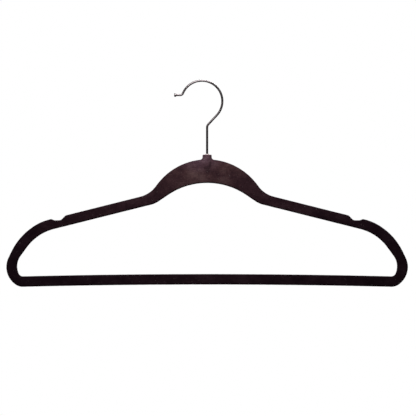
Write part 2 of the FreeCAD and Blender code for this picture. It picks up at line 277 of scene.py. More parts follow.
def outer_half():
    """Right half of the outer edge, from the boss over the yoke and the arm, round the end, to mid bar."""
    neck, shoulder, _, _ = shoulder_line()
    notch = [(*notch_point(run, depth), radius) for run, depth, radius in (
        (0, 0, NOTCH_LIP_RADIUS), (NOTCH_FLOOR_FROM, NOTCH_DEPTH, NOTCH_FLOOR_RADIUS),
        (NOTCH_FLOOR_TO, NOTCH_OUTER_DEPTH, NOTCH_FLOOR_RADIUS), (NOTCH_LENGTH, 0, NOTCH_LIP_RADIUS),
    )]
    fillet_x = BOSS_RADIUS - BOSS_FILLET_SINK + BOSS_FILLET
    rise = math.sqrt((YOKE_TOP_RADIUS + BOSS_FILLET) ** 2 - fillet_x ** 2)
    fillet_z = YOKE_TOP - YOKE_TOP_RADIUS + rise
    touch = math.atan2(rise, fillet_x)
    head = np.array([[0.0, fillet_z], [fillet_x - BOSS_FILLET, fillet_z]])
    fillet = arc((fillet_x, fillet_z), BOSS_FILLET, math.pi, math.pi + touch, 0.2)
    yoke = yoke_arc(YOKE_TOP, YOKE_TOP_RADIUS, neck, touch)
    bow, heel = bowed_edge(BAR_BOW, WIDTH / 2 - HEEL_INSET)
    end_loop = [
        (*shoulder, SHOULDER_RADIUS), (WIDTH / 2 - END_INSET, END_HEIGHT, END_RADIUS),
        (WIDTH / 2 - NOSE_INSET, NOSE_HEIGHT, NOSE_RADIUS), (*heel, HEEL_RADIUS),
    ]
    rest = rounded(yoke[-1], [(*neck, NECK_RADIUS)] + notch + end_loop, bow[0], 0.4)
    return np.concatenate([head, fillet, yoke, rest, bow])


def inner_half():
    """Right half of the opening's edge, a strip's width inside the outer edge but for the deep yoke."""
    _, _, down, _ = shoulder_line()
    side = WIDTH / 2 - STRIP_WIDTH
    under_neck = under_neck_corner()
    under_shoulder = under_neck + down * (side - INNER_SHOULDER_INSET - under_neck[0]) / down[0]
    yoke = yoke_arc(YOKE_TOP - YOKE_DEPTH, YOKE_UNDER_RADIUS, under_neck, math.pi / 2)
    bow, heel = bowed_edge(BAR_BOW + STRIP_WIDTH, side - INNER_HEEL_INSET)
    corners = [
        (*under_neck, NECK_UNDER_RADIUS), (*under_shoulder, INNER_SHOULDER_RADIUS),
        (side - INNER_NOSE_INSET, STRIP_WIDTH + INNER_NOSE_HEIGHT, INNER_NOSE_RADIUS),
        (*heel, INNER_HEEL_RADIUS),
    ]
    rest = rounded(yoke[-1], corners, bow[0], 0.4)
    return np.concatenate([yoke, rest, bow])


def stations(outline, seeds, step=0.05):
    """Distances along an outline to where it passes nearest to the seeds."""
    along = lengths_along(outline)
    want = np.linspace(0.0, along[-1], int(along[-1] / step))
    line = np.stack([np.interp(want, along, outline[:, k]) for k in (0, 1)], axis=-1)
    return [want[np.argmin(np.linalg.norm(line - np.asarray(seed), axis=1))] for seed in seeds]


def paired_loops(step, fine_step, fine_to):
    """Both closed edges of the body, with as many points each, so that equal points face each other.

    The right halves are matched beside the boss, at the neck, both lips of the notch, the side of the end
    loop and its heel, and evenly between those. The left half is the mirror image. The first fine_to
    millimetres are closer set.
    """
    outer, inner = outer_half(), inner_half()
    neck, _, _, inward = shoulder_line()
    beside_boss = BOSS_RADIUS + BOSS_FILLET - 1.0
    lips = [notch_point(0, 0), notch_point(NOTCH_LENGTH, 0)]
    inner_lips = [lip + STRIP_WIDTH * inward for lip in lips]
    side = outer[np.argmax(outer[:, 0])]
    inner_side = inner[np.argmax(inner[:, 0])]
    heel = (WIDTH / 2 - HEEL_INSET, 0.0)
    inner_heel = (WIDTH / 2 - STRIP_WIDTH - INNER_HEEL_INSET, STRIP_WIDTH)
    outer_seeds = [outer[0], (beside_boss, YOKE_TOP), neck, *lips, side, heel, outer[-1]]
    inner_seeds = [
        inner[0], (beside_boss - 1.0, YOKE_TOP - YOKE_DEPTH), under_neck_corner(), *inner_lips, inner_side,
        inner_heel, inner[-1],
    ]
    marks = stations(outer, outer_seeds)
    inner_marks = stations(inner, inner_seeds)
    fine = np.arange(0.0, fine_to, fine_step)
    coarse = np.linspace(fine_to, marks[-1], int((marks[-1] - fine_to) / step))
    u = np.concatenate([fine, coarse])
    v = np.interp(u, marks, inner_marks)
    loops = []
    for outline, want in ((outer, u), (inner, v)):
        along = lengths_along(outline)
        right = np.stack([np.interp(want, along, outline[:, k]) for k in (0, 1)], axis=-1)
        left = right[-2:0:-1] * (-1, 1)
        loops.append(np.concatenate([right, left]))
    return loops


# ------------------------------------------------------------------ surfaces

def grid_faces(rows, columns, wrap_rows):
    """Quads of a grid of rows by columns points, closed along its columns and, if asked, along its rows."""
    r = np.arange(rows if wrap_rows else rows - 1)[:, None]
    c = np.arange(columns)[None, :]
    next_r, next_c = (r + 1) % rows, (c + 1) % columns
    corners = (r * columns + c, r * columns + next_c, next_r * columns + next_c, next_r * columns + c)
    return np.stack([np.broadcast_to(k, (len(r), columns)) for k in corners], axis=-1).reshape(-1, 4)


def grid_normals(points, wrap_rows):
    """Unit normals of a grid surface, from the cross product of its differences along rows and columns."""
    along_columns = np.roll(points, -1, axis=1) - np.roll(points, 1, axis=1)
    if wrap_rows:
        along_rows = np.roll(points, -1, axis=0) - np.roll(points, 1, axis=0)
    else:
        along_rows = np.gradient(points, axis=0)
    normals = np.cross(along_columns, along_rows)
    return normals / np.maximum(np.linalg.norm(normals, axis=-1, keepdims=True), 1e-12)


def volume_inside(points, faces):
    """Six times the volume that quads enclose, positive where they face outwards."""
    a, b, c, d = (points[faces[:, k]] for k in range(4))
    return float(np.sum(a * np.cross(b, c)) + np.sum(a * np.cross(c, d)))


def add_grid(name, points, wrap_rows, uv, material, sharp_angle, shades=None):
    """Make a piece from a grid of points in the body's drawing frame, in millimetres.

    A grid that doesn't close along its rows is closed by a fan over its first and its last ring. Each
    point's surface distances (across, along) in metres become the UV map, and shades become point
    attributes.
    """
    rows, columns = points.shape[:2]
    flat = points.reshape(-1, 3)
    faces = grid_faces(rows, columns, wrap_rows)
    fans = []
    if not wrap_rows:
        ends = np.stack([points[0].mean(axis=0), points[-1].mean(axis=0)])
        flat = np.concatenate([flat, ends])
        c = np.arange(columns)
        fans = [
            np.stack([(c + 1) % columns, c, np.full(columns, rows * columns)], axis=-1),
            np.stack([c, (c + 1) % columns, np.full(columns, rows * columns + 1)], axis=-1),
        ]
        fans[1][:, :2] += (rows - 1) * columns
    if volume_inside(flat, faces) < 0:
        faces = faces[:, ::-1]
        fans = [fan[:, ::-1] for fan in fans]
    placed = flat * MM + (AXIS_X, 0.0, BASE_Z)
    mesh = bpy.data.meshes.new(name)
    mesh.from_pydata(placed.tolist(), [], faces.tolist() + [f for fan in fans for f in fan.tolist()])
    mesh.update()
    mesh.polygons.foreach_set("use_smooth", np.ones(len(mesh.polygons), dtype=bool))
    mesh.set_sharp_from_angle(angle=math.radians(sharp_angle))
    corner_points = np.empty(len(mesh.loops), dtype=np.int64)
    mesh.loops.foreach_get("vertex_index", corner_points)
    surface = np.zeros((len(flat), 2))
    surface[: rows * columns] = uv.reshape(-1, 2)
    uv_of_corners = surface[corner_points].astype(np.float32).ravel()
    mesh.uv_layers.new(name="surface").uv.foreach_set("vector", uv_of_corners)
    for title, values in (shades or {}).items():
        padded = np.zeros(len(flat), dtype=np.float32)
        padded[: rows * columns] = values.ravel()
        mesh.attributes.new(title, "FLOAT", "POINT").data.foreach_set("value", padded)
    mesh.materials.append(material)
    piece = bpy.data.objects.new(name, mesh)
    bpy.context.scene.collection.objects.link(piece)
    return piece


def unevenness(points, seed, shortest, longest, waves=28):
    """Smooth uneven heights between about -1 and 1: a sum of sine waves in random directions in space."""
    rng = np.random.default_rng(seed)
    total = np.zeros(points.shape[:-1])
    for _ in range(waves):
        way = rng.normal(size=3)
        way /= np.linalg.norm(way)
        length = math.exp(rng.uniform(math.log(shortest), math.log(longest)))
        total += np.sin(points @ way * (2 * math.pi / length) + rng.uniform(0, 2 * math.pi))
    return total / math.sqrt(waves)


def strip_section(rim_steps=2, round_steps=6, face_steps=12):
    """One section of the strip: its distance from the outer edge, a + b * width, and its y.

    It runs from the middle of the outer rim over the front face to the inner rim and back over the rear
    face. The rounds are quarter circles of the edge radius. The fourth array is 1 on the rims and fades to
    0 on the faces; it is the share of painted shade that darkens the rims.
    """
    half = BODY_THICKNESS / 2
    flat = half - EDGE_RADIUS
    rim = np.linspace(0, flat, rim_steps, endpoint=False)
    turn = np.linspace(0, math.pi / 2, round_steps, endpoint=False)
    face = np.linspace(0, 1, face_steps)
    near = np.concatenate([np.zeros(rim_steps), EDGE_RADIUS * (1 - np.cos(turn))])
    rise = np.concatenate([rim, flat + EDGE_RADIUS * np.sin(turn)])
    a = np.concatenate([near, EDGE_RADIUS * (1 - 2 * face), -near[::-1]])
    b = np.concatenate([np.zeros(len(near)), face, np.ones(len(near))])
    y = np.concatenate([rise, np.full(face_steps, half), rise[::-1]])
    edge = 1 - np.clip((y / half - 0.5) / 0.5, 0, 1) ** 3
    back = slice(-2, 0, -1)
    return (
        np.concatenate([a, a[back]]),
        np.concatenate([b, b[back]]),
        np.concatenate([-y, y[back]]),
        np.concatenate([edge, edge[back]]),
    )


def boss_swell(x, z):
    """How far the faces of the yoke swell over the boss, as a multiple of their own half thickness.

    The boss is a half round of radius sqrt(R * R - x * x), faded out below its straight length. It is
    joined to the face by a smooth maximum, half the sum of both heights and of the root of their squared
    difference plus a small blend squared.
    """
    half = BODY_THICKNESS / 2
    sunk = half - BOSS_TAPER_STEP
    fade = np.clip((z - (BOSS_STRAIGHT_TO - BOSS_TAPER_LENGTH)) / BOSS_TAPER_LENGTH, 0, 1)
    tuck = np.clip((z - BOSS_STRAIGHT_TO - SWELL_TUCK_RISE) / SWELL_TUCK_RUN, 0, 1)
    radius = sunk + (BOSS_RADIUS + SWELL_PROUD - sunk) * fade - SWELL_TUCK * tuck
    height = np.sqrt(np.maximum(radius ** 2 - x ** 2, 0))
    joined = (half + height + np.sqrt((half - height) ** 2 + SWELL_BLEND ** 2)) / 2
    level = (half + np.sqrt(half ** 2 + SWELL_BLEND ** 2)) / 2
    beside = np.clip((SWELL_REACH - np.abs(x)) / SWELL_FADE, 0, 1)
    above = np.clip((z - SWELL_FOOT) / SWELL_FOOT_FADE, 0, 1)
    return 1 + (joined - level).clip(0) / half * beside * above


def coat_surface(pile_height):
    """The velvet over the body: the strip's section carried round both paired edges.

    A point stands at outer + (inner - outer) * (a + b * width) / width in the plane of the hanger and at
    the section's y, swollen over the boss. It is then moved along its normal by the pile's unevenness.
    """
    outer, inner = paired_loops(step=0.86, fine_step=0.3, fine_to=16.0)
    a, b, y, edge = strip_section()
    width = np.linalg.norm(inner - outer, axis=1)[:, None]
    distance = a[None] + b[None] * width
    plane = outer[:, None] + (inner - outer)[:, None] * (distance / width)[..., None]
    depth = y[None] * boss_swell(plane[..., 0], plane[..., 1])
    points = np.stack([plane[..., 0], depth, plane[..., 1]], axis=-1)
    clumps = unevenness(points, 11, 1.6, 6.0) + 0.6 * unevenness(points, 12, 8.0, 40.0)
    points = points + grid_normals(points, True) * (pile_height / MM * clumps)[..., None]
    closed = np.concatenate([outer, outer[:1]])
    around = np.broadcast_to(lengths_along(closed)[:-1, None] * MM, distance.shape)
    uv = np.stack([distance * MM, around], axis=-1)
    return points, uv, np.broadcast_to(edge[None], distance.shape)


def turned(profile, columns):
    """A profile of (radius, z) points turned about the swivel axis, with its surface distances."""
    turn = np.linspace(0, 2 * math.pi, columns, endpoint=False)
    radius, z = profile[:, 0][:, None], profile[:, 1][:, None]
    ring = np.ones((1, columns))
    points = np.stack([radius * np.cos(turn), radius * np.sin(turn), z * ring], axis=-1)
    uv = np.stack([radius * turn * MM, lengths_along(profile)[:, None] * ring * MM], axis=-1)
    return points, uv


def closed_profile(corners, step):
    """A closed profile of corners (radius, z, rounding), started half way along its last side."""
    last, first = np.asarray(corners[-1][:2]), np.asarray(corners[0][:2])
    middle = tuple((last + first) / 2)
    outline = rounded(middle, corners, middle, 0.08)
    return resample(outline, int(lengths_along(outline)[-1] / step))


def boss_surface(pile_height):
    """The velvet over the boss: a cap with a hole for the bush, turned from a closed profile."""
    top, under = BOSS_TOP, BOSS_TOP - CAP_THICKNESS
    inside = BOSS_RADIUS - CAP_THICKNESS
    hole = BUSH_RADIUS + CAP_TO_BUSH
    corners = [
        (BOSS_RADIUS - CAP_FOOT_INSET, CAP_FOOT, 0.03), (BOSS_RADIUS, CAP_FULL_FROM, 6.0),
        (BOSS_RADIUS, top, BOSS_EDGE_RADIUS), (hole, top, 0.16), (hole, under, 0.03), (inside, under, 0.3),
        (inside, CAP_FOOT, 0.03),
    ]
    points, uv = turned(closed_profile(corners, 0.16), columns=96)
    clumps = unevenness(points, 13, 1.2, 5.0)
    inner_wall = np.hypot(points[..., 0], points[..., 1]) < inside + 0.05
    below_top = points[..., 2] < top - 0.2
    lift = np.where(inner_wall & below_top, 0.0, pile_height / MM * clumps)
    edge = np.zeros(points.shape[:2])
    return points + grid_normals(points, True) * lift[..., None], uv, edge


def bush_surface():
    """The nylon bush: a flanged tube with a rounded lip, turned from a closed profile."""
    top = BOSS_TOP + BUSH_PROUD
    corners = [
        (BUSH_BORE, FLANGE_BOTTOM, 0.08), (FLANGE_RADIUS, FLANGE_BOTTOM, 0.1),
        (FLANGE_RADIUS, FLANGE_TOP, 0.1), (BUSH_RADIUS, FLANGE_TOP, 0.1), (BUSH_RADIUS, top, 0.35),
        (BUSH_BORE, top, 0.25),
    ]
    return turned(closed_profile(corners, 0.12), columns=80)


def hook_line():
    """Centreline of the wire: up the axis, over to the crown, round it and out along the lip."""
    bend = (0.0, NECK_BEND_Z)
    bearing = math.atan2(bend[1] - CROWN_CENTRE[1], bend[0] - CROWN_CENTRE[0])
    start = bearing + math.acos(CROWN_RADIUS / math.dist(CROWN_CENTRE, bend))
    onto_crown = tuple(on_circle(CROWN_CENTRE, CROWN_RADIUS, start))
    shank = rounded((0.0, FOOT_BOTTOM), [(*bend, NECK_BEND_RADIUS)], onto_crown, 0.1)
    lip_centre_z = LIP_Z + LIP_BEND_RADIUS
    rise = lip_centre_z - CROWN_CENTRE[1]
    reach = math.sqrt((CROWN_RADIUS + LIP_BEND_RADIUS) ** 2 - rise ** 2)
    end = math.atan2(rise, -reach)
    crown = arc(CROWN_CENTRE, CROWN_RADIUS, start, end, 0.1)
    lip_centre = (CROWN_CENTRE[0] - reach, lip_centre_z)
    bend_out = arc(lip_centre, LIP_BEND_RADIUS, end - math.pi, -math.pi / 2, 0.05)
    return np.concatenate([shank, crown[1:], bend_out[1:], [[-LIP_REACH, LIP_Z]]])


def headed_wire(length):
    """Distances along the wire and its radius there: upset foot, plain wire and the button on the tip.

    The rounds are quarter circles, with radius = middle + rounding * sin(angle) at the distance
    rounding * (1 - cos(angle)).
    """
    quarter = np.linspace(0, math.pi / 2, 8)
    foot_height = FOOT_TOP - FOOT_BOTTOM
    button_start = length - BUTTON_LENGTH
    foot, top, back, nose = FOOT_EDGE_RADIUS, FOOT_TOP_EDGE_RADIUS, BUTTON_BACK_RADIUS, BUTTON_EDGE_RADIUS
    plain = np.linspace(foot_height + 0.6, button_start - 0.5, 420)
    runs = [
        (foot * (1 - np.cos(quarter)), FOOT_RADIUS - foot + foot * np.sin(quarter)),
        (foot_height - top + top * np.sin(quarter), FOOT_RADIUS - top + top * np.cos(quarter)),
        ([foot_height + 0.02, foot_height + 0.2], [WIRE_RADIUS + FOOT_ROOT, WIRE_RADIUS]),
        (plain, np.full(len(plain), WIRE_RADIUS)),
        ([button_start - 0.25, button_start], [WIRE_RADIUS + 0.02, WIRE_RADIUS + BUTTON_ROOT]),
        (button_start + 0.02 + back * (1 - np.cos(quarter)), BUTTON_RADIUS - back + back * np.sin(quarter)),
        (length - nose * (1 - np.sin(quarter)), BUTTON_RADIUS - nose + nose * np.cos(quarter)),
    ]
    return tuple(np.concatenate([run[k] for run in runs]) for k in (0, 1))


def hook_surface(columns=56):
    """The wire: a circle of the headed radius carried along the centreline, square to it."""
    line = hook_line()
    along = lengths_along(line)
    distance, radius = headed_wire(along[-1])
    x, z = (np.interp(distance, along, line[:, k]) for k in (0, 1))
    ahead = np.minimum(distance + 0.15, along[-1])
    behind = np.maximum(distance - 0.15, 0.0)
    tangent = np.stack([
        np.interp(ahead, along, line[:, k]) - np.interp(behind, along, line[:, k]) for k in (0, 1)
    ])
    tangent /= np.linalg.norm(tangent, axis=0)
    way_x, way_z = tangent[0][:, None], tangent[1][:, None]
    turn = np.linspace(0, 2 * math.pi, columns, endpoint=False)
    out = radius[:, None] * np.cos(turn)
    side = radius[:, None] * np.sin(turn)
    points = np.stack([x[:, None] + out * -way_z, side, z[:, None] + out * way_x], axis=-1)
    round_wire = np.broadcast_to(turn * WIRE_RADIUS * MM, out.shape)
    uv = np.stack([round_wire, distance[:, None] * np.ones_like(out) * MM], axis=-1)
    return points, uv


# ------------------------------------------------------------------ finishes

def fresh_material(name):
    """An empty node material with its output and surface shader, as (material, nodes, links, shader)."""
    material = bpy.data.materials.new(name)
    material.use_nodes = True
    nodes, links = material.node_tree.nodes, material.node_tree.links
    return material, nodes, links, nodes["Principled BSDF"]


def textured(nodes, links, kind, vector, **settings):
    """A texture node of a kind that reads a vector, with its settings and input values."""
    texture = nodes.new(kind)
    for key, value in settings.items():
        if key in texture.inputs:
            texture.inputs[key].default_value = value
        else:
            setattr(texture, key, value)
    links.new(vector, texture.inputs["Vector"])
    return texture


def stretched(nodes, links, vector, scale, turn=(0.0, 0.0, 0.0)):
    """The vector scaled and turned by a Mapping node."""
    mapping = nodes.new("ShaderNodeMapping")
    mapping.inputs["Scale"].default_value = scale
    mapping.inputs["Rotation"].default_value = turn
    links.new(vector, mapping.inputs["Vector"])
    return mapping.outputs["Vector"]


def ramp(nodes, links, value, stops):
    """A colour ramp over a value, from (position, colour) stops."""
    node = nodes.new("ShaderNodeValToRGB")
    elements = node.color_ramp.elements
    for _ in range(len(stops) - 2):
        elements.new(0.5)
    for element, (position, colour) in zip(elements, stops):
        element.position = position
        element.color = (*colour, 1.0)
    links.new(value, node.inputs["Fac"])
    return node.outputs["Color"]


def blended(nodes, links, mode, share, first, second):
    """Two colours blended in a mode; share, first and second are sockets or values."""
    node = nodes.new("ShaderNodeMix")
    node.data_type = "RGBA"
    node.blend_type = mode
    for value, socket in ((share, node.inputs[0]), (first, node.inputs[6]), (second, node.inputs[7])):
        if isinstance(value, bpy.types.NodeSocket):
            links.new(value, socket)
        else:
            socket.default_value = value if isinstance(value, float) else (*value, 1.0)
    return node.outputs[2]


def between(nodes, links, value, low, high, from_low=0.0, from_high=1.0):
    """A value carried from one range to another."""
    node = nodes.new("ShaderNodeMapRange")
    limits = {"From Min": from_low, "From Max": from_high, "To Min": low, "To Max": high}
    for title, number in limits.items():
        node.inputs[title].default_value = number
    links.new(value, node.inputs["Value"])
    return node.outputs["Result"]


def bumped(nodes, links, shader, heights):
    """Bump the shader by a chain of (height socket, strength, distance in metres)."""
    normal = None
    for height, strength, distance in heights:
        bump = nodes.new("ShaderNodeBump")
        bump.inputs["Strength"].default_value = strength
        bump.inputs["Distance"].default_value = distance
        links.new(height, bump.inputs["Height"])
        if normal is not None:
            links.new(normal, bump.inputs["Normal"])
        normal = bump.outputs["Normal"]
    links.new(normal, shader.inputs["Normal"])


def object_place(nodes):
    """The place on the piece, in metres from the frame's origin."""
    return nodes.new("ShaderNodeTexCoord").outputs["Object"]


def painted_light_pool(nodes, links, place):
    """A painted pool of light on the pile: paler at the boss, as if lit there, and darker further away, as
    painted shade.

    It is a ramp over the distance from the boss, measured on an ellipse that is wider than it is high.
    """
    mapping = nodes.new("ShaderNodeMapping")
    mapping.vector_type = "TEXTURE"
    mapping.inputs["Location"].default_value = (AXIS_X - 8 * MM, 0.0, BASE_Z + (YOKE_TOP + 4) * MM)
    mapping.inputs["Scale"].default_value = (0.24, 0.24, 0.16)
    links.new(place, mapping.inputs["Vector"])
    reach = nodes.new("ShaderNodeVectorMath")
    reach.operation = "LENGTH"
    links.new(mapping.outputs["Vector"], reach.inputs[0])
    # Painted light and shade: the pile's colour is raised up to 1.8 times near the boss and lowered to
    # about a third at the ends.
    return ramp(nodes, links, reach.outputs["Value"], [
        (0.04, (1.8, 1.8, 2.0)), (0.13, (1.2, 1.1, 1.0)), (0.35, (0.62, 0.5, 0.56)),
        (1.0, (0.33, 0.26, 0.36)),
    ])


def stray_fibres(nodes, links, place, turn):
    """Where short pale fibres lie on the pile, at one turn: thin cells, of which most stay empty."""
    curl = textured(nodes, links, "ShaderNodeTexNoise", place, Scale=500.0, Detail=1.0)
    bent = blended(nodes, links, "LINEAR_LIGHT", 0.0012, place, curl.outputs["Color"])
    thin = stretched(nodes, links, bent, (330, 330, 2200), (0, turn, 0))
    cells = textured(nodes, links, "ShaderNodeTexVoronoi", thin, Scale=1.0, Randomness=1.0)
    fibre = ramp(nodes, links, cells.outputs["Distance"], [(0.1, (0.6,) * 3), (0.2, (0.0,) * 3)])
    chosen = ramp(nodes, links, cells.outputs["Color"], [(0.72, (0.0,) * 3), (0.74, (1.0,) * 3)])
    return blended(nodes, links, "MULTIPLY", 1.0, fibre, chosen)


def velvet_material(settings):
    """Short dense pile: brushed patches, grain, a few stray fibres, a painted pool of light at the boss and
    painted shade on the rounded rims.
    """
    material, nodes, links, shader = fresh_material("Velvet pile")
    place = object_place(nodes)
    broad = stretched(nodes, links, place, (55, 55, 80))
    patches = textured(nodes, links, "ShaderNodeTexNoise", broad, Scale=1.0, Detail=4.0, Roughness=0.6)
    long = stretched(nodes, links, place, (150, 400, 1100))
    streaks = textured(nodes, links, "ShaderNodeTexNoise", long, Scale=1.0, Detail=3.0)
    fibres = textured(nodes, links, "ShaderNodeTexNoise", place, Scale=2600.0, Detail=2.0)
    dye = textured(nodes, links, "ShaderNodeTexNoise", place, Scale=330.0, Detail=2.0)
    colour = ramp(nodes, links, patches.outputs["Fac"], [
        (0.28, settings.deep_colour), (0.5, settings.pile_colour), (0.74, settings.brushed_colour),
    ])
    tones = (
        (streaks.outputs["Fac"], 0.7, [(0.3, (0.72, 0.72, 0.72)), (0.7, (1.25, 1.22, 1.22))]),
        (fibres.outputs["Fac"], 0.8, [(0.3, (0.6, 0.58, 0.6)), (0.7, (1.4, 1.38, 1.4))]),
        (dye.outputs["Color"], 0.8, [
            (0.3, (0.75, 0.7, 0.72)), (0.5, (1.0, 1.0, 1.0)), (0.7, (1.3, 1.28, 1.22)),
        ]),
    )
    for value, share, stops in tones:
        colour = blended(nodes, links, "MULTIPLY", share, colour, ramp(nodes, links, value, stops))
    # Painted light and shade: a pool of light round the boss, darkening towards the ends, multiplied into
    # the pile's colour.
    colour = blended(nodes, links, "MULTIPLY", 1.0, colour, painted_light_pool(nodes, links, place))
    # Painted shade: the rounded rims are darkened towards (0.3, 0.2, 0.26) by the share that the rim
    # attribute gives.
    edge = nodes.new("ShaderNodeAttribute")
    edge.attribute_name = "painted_rim_shade"
    rim_shade_share = between(nodes, links, edge.outputs["Fac"], 0.0, 0.9)
    colour = blended(nodes, links, "MULTIPLY", rim_shade_share, colour, (0.3, 0.2, 0.26))
    for turn in (-0.5, 0.9):
        stray = stray_fibres(nodes, links, place, turn)
        colour = blended(nodes, links, "MIX", stray, colour, settings.stray_colour)
    links.new(colour, shader.inputs["Base Color"])
    shader.inputs["Roughness"].default_value = 0.95
    shader.inputs["Specular IOR Level"].default_value = 0.04
    shader.inputs["Sheen Weight"].default_value = 0.08
    shader.inputs["Sheen Roughness"].default_value = 0.55
    shader.inputs["Sheen Tint"].default_value = (0.62, 0.34, 0.42, 1.0)
    bumped(nodes, links, shader, [
        (streaks.outputs["Fac"], 0.25, 0.00025), (fibres.outputs["Fac"], 0.55, 0.00012),
    ])
    return material


def wire_material(settings):
    """Smoky satin plating on wire: fine drawing lines along it, hazy patches and small pits."""
    material, nodes, links, shader = fresh_material("Plated wire")
    place = object_place(nodes)
    surface = nodes.new("ShaderNodeUVMap")
    surface.uv_map = "surface"
    drawn = stretched(nodes, links, surface.outputs["UV"], (14000, 90, 1))
    lines = textured(nodes, links, "ShaderNodeTexNoise", drawn, Scale=1.0, Detail=3.0)
    haze = textured(nodes, links, "ShaderNodeTexNoise", place, Scale=180.0, Detail=4.0)
    pits = textured(nodes, links, "ShaderNodeTexNoise", place, Scale=3500.0, Detail=1.0)
    tone = ramp(nodes, links, haze.outputs["Fac"], [
        (0.3, settings.shade_colour), (0.7, settings.metal_colour),
    ])
    scored = ramp(nodes, links, lines.outputs["Fac"], [(0.35, (0.8, 0.79, 0.78)), (0.65, (1.0, 1.0, 1.0))])
    colour = blended(nodes, links, "MULTIPLY", 0.35, tone, scored)
    links.new(colour, shader.inputs["Base Color"])
    shader.inputs["Metallic"].default_value = 1.0
    polish = between(nodes, links, haze.outputs["Fac"], settings.polish, settings.polish + 0.1, 0.3, 0.7)
    links.new(polish, shader.inputs["Roughness"])
    bumped(nodes, links, shader, [
        (lines.outputs["Fac"], 0.12, 0.00003), (pits.outputs["Fac"], 0.05, 0.00002),
    ])
    return material


def nylon_material(settings):
    """Natural nylon: milky, slightly pink, faintly mottled, with turned rings from the shank's rubbing."""
    material, nodes, links, shader = fresh_material("Natural nylon")
    place = object_place(nodes)
    mottle = textured(nodes, links, "ShaderNodeTexNoise", place, Scale=900.0, Detail=3.0)
    flat_rings = stretched(nodes, links, place, (200, 200, 9000))
    rubbed = textured(nodes, links, "ShaderNodeTexNoise", flat_rings, Scale=1.0, Detail=2.0)
    low = tuple(0.82 * channel for channel in settings.bush_colour)
    colour = ramp(nodes, links, mottle.outputs["Fac"], [(0.3, low), (0.7, tuple(settings.bush_colour))])
    links.new(colour, shader.inputs["Base Color"])
    links.new(between(nodes, links, rubbed.outputs["Fac"], 0.35, 0.55), shader.inputs["Roughness"])
    shader.inputs["Subsurface Weight"].default_value = 0.25
    shader.inputs["Subsurface Radius"].default_value = (0.0009, 0.0007, 0.0006)
    bumped(nodes, links, shader, [(rubbed.outputs["Fac"], 0.12, 0.00004)])
    return material


def moulded_material(settings):
    """Black moulded plastic: spark-eroded grain, flow marks and a dull film of flock glue."""
    material, nodes, links, shader = fresh_material("Moulded core plastic")
    place = object_place(nodes)
    grain = textured(nodes, links, "ShaderNodeTexNoise", place, Scale=1800.0, Detail=3.0)
    drawn_out = stretched(nodes, links, place, (18, 60, 60))
    flow = textured(nodes, links, "ShaderNodeTexNoise", drawn_out, Scale=1.0, Detail=3.0, Distortion=1.2)
    glue = textured(nodes, links, "ShaderNodeTexVoronoi", place, Scale=420.0, Randomness=1.0)
    lighter = tuple(1.7 * channel for channel in settings.core_colour)
    tone = ramp(nodes, links, flow.outputs["Fac"], [(0.35, tuple(settings.core_colour)), (0.65, lighter)])
    film = ramp(nodes, links, glue.outputs["Distance"], [(0.1, (1.3, 1.28, 1.25)), (0.5, (0.9, 0.9, 0.9))])
    links.new(blended(nodes, links, "MULTIPLY", 0.6, tone, film), shader.inputs["Base Color"])
    links.new(between(nodes, links, flow.outputs["Fac"], 0.45, 0.68), shader.inputs["Roughness"])
    bumped(nodes, links, shader, [
        (glue.outputs["Distance"], 0.1, 0.00005), (grain.outputs["Fac"], 0.3, 0.00003),
    ])
    return material


def washer_material():
    """Plain stamped steel: rings from sliding, and darker patches of oil."""
    material, nodes, links, shader = fresh_material("Stamped washer steel")
    mapping = nodes.new("ShaderNodeMapping")
    mapping.inputs["Location"].default_value = (-AXIS_X, 0.0, 0.0)
    links.new(object_place(nodes), mapping.inputs["Vector"])
    rings = textured(nodes, links, "ShaderNodeTexWave", mapping.outputs["Vector"], wave_type="RINGS",
                     rings_direction="Z", Scale=900.0, Distortion=0.6, Detail=2.0)
    oil = textured(nodes, links, "ShaderNodeTexNoise", mapping.outputs["Vector"], Scale=700.0, Detail=3.0)
    colour = ramp(nodes, links, oil.outputs["Fac"], [
        (0.35, (0.28, 0.26, 0.24)), (0.65, (0.56, 0.56, 0.55)),
    ])
    links.new(colour, shader.inputs["Base Color"])
    shader.inputs["Metallic"].default_value = 1.0
    links.new(between(nodes, links, rings.outputs["Fac"], 0.28, 0.42), shader.inputs["Roughness"])
    bumped(nodes, links, shader, [(rings.outputs["Fac"], 0.15, 0.00003)])
    return material


def floor_material(colour, glow):
    """Pale matt studio floor with a barely visible mottle; it glows for the camera and lights nothing."""
    material, nodes, links, shader = fresh_material("Pale studio floor")
    mottle = textured(nodes, links, "ShaderNodeTexNoise", object_place(nodes), Scale=6.0, Detail=4.0)
    low = tuple(0.97 * channel for channel in colour)
    tone = ramp(nodes, links, mottle.outputs["Fac"], [(0.3, low), (0.7, tuple(colour))])
    links.new(tone, shader.inputs["Base Color"])
    links.new(between(nodes, links, mottle.outputs["Fac"], 0.75, 0.85), shader.inputs["Roughness"])
    path = nodes.new("ShaderNodeLightPath")
    shader.inputs["Emission Color"].default_value = (1.0, 1.0, 1.0, 1.0)
    seen = between(nodes, links, path.outputs["Is Camera Ray"], 0.0, glow)
    links.new(seen, shader.inputs["Emission Strength"])
    return material


def finish_frame_node(node, material):
    """Give a piece that comes from the frame its own finish."""
    slots = frame["nodes"][node].data.materials
    slots.clear()
    slots.append(material)


# ------------------------------------------------------------------ settings

